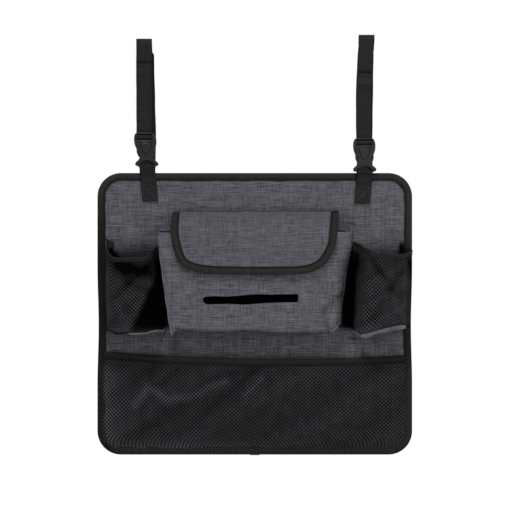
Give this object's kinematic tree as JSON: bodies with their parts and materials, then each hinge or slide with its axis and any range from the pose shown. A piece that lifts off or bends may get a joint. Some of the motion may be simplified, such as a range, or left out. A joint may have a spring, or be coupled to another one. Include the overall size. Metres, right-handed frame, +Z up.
{
  "type": "car seat back organizer",
  "caption": "Hanging fabric organizer for the back of a car seat: tissue pocket under a flap, net pockets and buckled headrest straps.",
  "frame": {"origin": "middle of the flat back face of the panel, where it lies against the back of the car seat", "axes": "+Z up as it hangs, +Y into the seat back, +X to the right as a rear passenger sees it"},
  "size_m": [0.4, 0.0594, 0.5347],
  "materials": {
    "grey_cloth": "grey melange polyester weave",
    "black_tape": "ribbed woven binding tape",
    "black_net": "knitted net",
    "black_lining": "plain black weave",
    "black_webbing": "ribbed webbing",
    "black_closure": "hook and loop tape",
    "foam_board": "foam sheet",
    "black_plastic": "moulded, satin"
  },
  "bodies": {
    "root": {"panel_face": "grey_cloth", "panel_board": "foam_board", "panel_lining": "black_lining", "edge_binding": "black_tape", "bottom_pocket_net": "black_net", "bottom_pocket_binding": "black_tape", "tissue_pocket_front": "grey_cloth", "tissue_pocket_gusset": "grey_cloth", "flap": "grey_cloth", "flap_binding": "black_tape", "flap_hook_tape": "black_closure", "pocket_loop_tape": "black_closure", "left_pocket_net": "black_net", "left_pocket_hem": "black_tape", "left_pocket_floor": "grey_cloth", "right_pocket_net": "black_net", "right_pocket_hem": "black_tape", "right_pocket_floor": "grey_cloth", "left_strap": "black_webbing", "left_anchor": "black_webbing", "left_buckle_male": "black_plastic", "left_buckle_female": "black_plastic", "right_strap": "black_webbing", "right_anchor": "black_webbing", "right_buckle_male": "black_plastic", "right_buckle_female": "black_plastic"}
  },
  "joints": []
}
